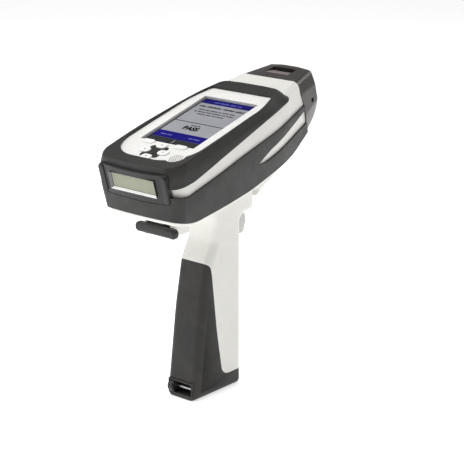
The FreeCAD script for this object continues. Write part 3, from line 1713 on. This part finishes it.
trigger = body("trigger", barrel=False)
trigger_side = sketch(trigger, "trigger_side", "YZ_Plane")
polygon(
    trigger_side,
    [
        (d.trigger_front - 17.7, d.trigger_low_z, 2.0),
        (d.trigger_front - 2.8, d.trigger_low_z, 5.0),
        (d.trigger_front + 0.9, d.trigger_low_z + 13.0, 14.0),
        (d.trigger_pivot_y + 5.0, d.trigger_pivot_z + 4.0, 4.0),
        (d.trigger_pivot_y - 4.5, d.trigger_pivot_z + 4.0, 4.0),
        (d.trigger_pivot_y - 5.0, d.trigger_pivot_z - 9.5, 6.0),
    ],
)
trigger_blade = pad(trigger, trigger_side, 2 * d.trigger_half_width, symmetric=True)


def trigger_front_edge(edge, middle):
    """The edges of the blade's face where the finger lies."""
    on_side = abs(abs(middle.x) - d.trigger_half_width.value) < 0.01 and edge.BoundBox.XLength < 0.01
    return on_side and middle.y > d.trigger_pivot_y.value


soften(trigger, "trigger_edges", trigger_blade, d.trigger_edge_round, trigger_front_edge)
trigger_eye = sketch(trigger, "trigger_eye", "YZ_Plane")
circle(trigger_eye, d.trigger_pivot_y, d.trigger_pivot_z, d.trigger_pin_radius + d.turning_fit)
pocket(trigger, trigger_eye, 40.0, symmetric=True)
keep(trigger)

switch = body("trigger_switch", barrel=False)
switch_case = sketch(switch, "switch_case", "XY_Plane", switch_low)
polygon(
    switch_case,
    box_corners(-d.switch_half_width, switch_rear, d.switch_half_width, switch_front, 0.6),
)
pad(switch, switch_case, switch_high - switch_low)
plunger = sketch(switch, "switch_plunger", "XZ_Plane", -(switch_front - 1.0))
circle(plunger, 0.0, (switch_low + switch_high) / 2, 1.2)
pad(switch, plunger, 7.6, reverse=True)
keep(switch)

# Trigger return spring: a leaf folded at its foot, one leg on the housing, one on the blade

spring = body("trigger_spring", barrel=False)
leaf = sketch(spring, "leaf_side", "YZ_Plane")
leaf_rear = d.trigger_slot_rear
leaf_tip = d.trigger_front - 17.65
polygon(
    leaf,
    [
        (leaf_rear, d.leaf_low_z, d.leaf_thick * 2.0),
        (leaf_rear + 1.8, d.leaf_low_z, d.leaf_thick * 2.0),
        (leaf_tip, d.leaf_top_z, 0.0),
        (leaf_tip - d.leaf_thick, d.leaf_top_z, 0.0),
        (leaf_rear + 1.8 - d.leaf_thick, d.leaf_low_z + d.leaf_thick, d.leaf_thick),
        (leaf_rear + d.leaf_thick, d.leaf_low_z + d.leaf_thick, d.leaf_thick),
        (leaf_rear + d.leaf_thick, d.leaf_top_z + 0.6, 0.0),
        (leaf_rear, d.leaf_top_z + 0.6, 0.0),
    ],
)
pad(spring, leaf, 2 * d.leaf_half_width, symmetric=True)
keep(spring)

# Battery pack, its contacts and the door in the base

battery = body("battery_pack", barrel=False)
battery_plan = sketch(battery, "battery_plan", "XY_Plane", d.battery_low_z)
polygon(
    battery_plan,
    box_corners(-d.battery_half_width, d.battery_rear, d.battery_half_width, d.battery_front, 3.0),
)
pad(battery, battery_plan, d.battery_length)
battery_groove = sketch(battery, "battery_groove", "XZ_Plane", -(d.battery_rear - 1.0))
polygon(battery_groove, box_corners(-3.0, d.battery_low_z - 1.0, 3.0, d.battery_low_z + 50.0, 0.0))
pocket(battery, battery_groove, 2.0)
keep(battery)

battery_top = d.battery_low_z + d.battery_length
contacts = body("battery_contacts", barrel=False)
contact_plan = sketch(contacts, "contact_plan", "XY_Plane", battery_top + 4.0)
polygon(contact_plan, box_corners(-8.0, d.battery_rear + 2.0, 8.0, d.battery_front - 2.0, 1.0))
pad(contacts, contact_plan, 4.0)
blades = sketch(contacts, "contact_blades", "XY_Plane", battery_top)
for number in range(3):
    blade_y = d.battery_rear + 4.0 + 6.0 * number
    polygon(blades, box_corners(-1.5, blade_y - 0.5, 1.5, blade_y + 0.5, 0.0))
pad(contacts, blades, 4.5)
keep(contacts)

door = body("battery_door", barrel=False)
door_plan = sketch(door, "door_plan", "XY_Plane", d.door_lift)
polygon(door_plan, box_corners(-d.door_half_width, d.door_rear, d.door_half_width, d.door_hinge_y))
pad(door, door_plan, d.door_thick)
knuckle = sketch(door, "door_knuckle", "YZ_Plane")
circle(knuckle, d.door_hinge_y, d.door_hinge_z, d.door_knuckle)
pad(door, knuckle, 2 * d.door_half_width, symmetric=True)
door_eye = sketch(door, "door_eye", "YZ_Plane")
circle(door_eye, d.door_hinge_y, d.door_hinge_z, d.door_pin_radius + d.turning_fit)
pocket(door, door_eye, 60.0, symmetric=True)
thumb = sketch(door, "door_thumb", "XY_Plane", d.door_lift - 0.5)
stadium(thumb, 0.0, d.door_rear + 6.0, Size.of(6.0), Size.of(2.6))
pocket(door, thumb, 1.7, reverse=True)
ribs = sketch(door, "door_grooves", "XY_Plane", d.door_lift - 0.5)
for number in range(2):
    rib_y = d.door_rear + 12.5 + 3.0 * number
    polygon(ribs, box_corners(-7.0, rib_y - 0.6, 7.0, rib_y + 0.6, 0.0))
pocket(door, ribs, 1.1, reverse=True)
keep(door)

# Strap lug: the end fitting of a hand strap on a pin in the heel

lug = body("strap_lug", barrel=False)
lug_side = sketch(lug, "lug_side", "YZ_Plane", -(d.strap_half_width - 0.25))
lug_low = d.strap_low_z + 0.4
lug_top = d.strap_top_z - 0.4
polygon(
    lug_side,
    box_corners(
        d.grip_heel - d.strap_lug_proud,
        lug_low,
        d.grip_heel + d.strap_depth - 0.3,
        lug_top,
        (d.strap_top_z - d.strap_low_z) * 0.44,
    ),
)
lug_block = pad(lug, lug_side, d.strap_lug_width)


def lug_edge(edge, middle):
    """The outer edges of the lug."""
    flat = edge.BoundBox.XLength < 0.01
    return flat and middle.y < d.grip_heel.value + 4.0


soften(lug, "lug_edges", lug_block, 1.2, lug_edge)
lug_eye = sketch(lug, "lug_eye", "YZ_Plane")
circle(lug_eye, strap_y, strap_z, d.strap_pin_radius + d.turning_fit)
pocket(lug, lug_eye, 60.0, symmetric=True)
keep(lug)

# Port: a metal socket in the port block, behind a hinged cover

socket = body("port_connector", barrel=False)
socket_back = d.port_rear + 8.0
socket_shell = sketch(socket, "socket_shell", "XZ_Plane", -socket_back)
socket_low = d.port_low_z + 2.6
polygon(socket_shell, box_corners(-6.0, socket_low, 6.0, socket_low + 6.0, 1.2))
pad(socket, socket_shell, d.socket_length)
socket_hole = sketch(socket, "socket_hole", "XZ_Plane", -(socket_back - d.socket_length - 1.0))
polygon(socket_hole, box_corners(-5.5, socket_low + 0.5, 5.5, socket_low + 5.5, 0.8))
pocket(socket, socket_hole, d.socket_length)
socket_tongue = sketch(socket, "socket_tongue", "XZ_Plane", -(socket_back - 0.5))
polygon(socket_tongue, box_corners(-4.0, socket_low + 0.3, 4.0, socket_low + 1.1, 0.0))
pad(socket, socket_tongue, d.socket_length - 1.5)
keep(socket)

cover = body("port_cover", barrel=False)
cover_face = d.port_rear - 0.1
cover_outline = sketch(cover, "cover_outline", "XZ_Plane", -cover_face)
polygon(
    cover_outline,
    box_corners(
        -d.port_cover_half_width, d.port_cover_low_z, d.port_cover_half_width, d.port_cover_top_z, 3.4
    ),
)
cover_plate = pad(cover, cover_outline, d.port_cover_thick)


def cover_rear_edge(edge, middle):
    """The edges round the outer face of the cover."""
    return abs(middle.y - (cover_face - d.port_cover_thick).value) < 0.01


soften(cover, "cover_edges", cover_plate, 2.4, cover_rear_edge)
for number, side in enumerate((-1.0, 1.0), start=1):
    notch = sketch(cover, "cover_notch_%d" % number, "XZ_Plane", -(cover_face + 1.0))
    inner = (d.port_hinge_half - 0.05) * side
    outer = (ear_out + 0.3) * side
    low = d.port_cover_low_z - 1.0
    high = d.port_hinge_z + d.port_ear_radius + 0.5
    polygon(notch, box_corners(inner, low, outer, high, 0.0))
    pocket(cover, notch, d.port_ear_radius + 1.0, reverse=True)
cover_knuckle = sketch(cover, "cover_knuckle", "YZ_Plane")
circle(cover_knuckle, d.port_hinge_y, d.port_hinge_z, d.port_knuckle)
pad(cover, cover_knuckle, 2 * d.port_hinge_half, symmetric=True)
cover_eye = sketch(cover, "cover_eye", "YZ_Plane")
circle(cover_eye, d.port_hinge_y, d.port_hinge_z, d.port_hinge_radius + d.turning_fit)
pocket(cover, cover_eye, 60.0, symmetric=True)
plug_face = sketch(cover, "cover_plug", "XZ_Plane", -(cover_face - 1.0))
polygon(
    plug_face,
    box_corners(-mouth_half + 0.4, d.port_low_z + 2.4, mouth_half - 0.4, d.port_low_z + 7.7, 1.0),
)
pad(cover, plug_face, 1.4, reverse=True)
keep(cover)

keep(housing_screws)

# Check every object, then write the sub-parts

doc.recompute()
faults = [made.Name for made in doc.Objects if "Invalid" in made.State or "Error" in made.State]
for made in NODES:
    if made.Shape.isNull() or not made.Shape.isValid():
        faults.append(made.Label)
if faults:
    raise RuntimeError("faulty objects: " + ", ".join(faults))
os.makedirs("parts", exist_ok=True)
for made in NODES:
    made.Shape.exportStep("parts/%s.step" % made.Label)
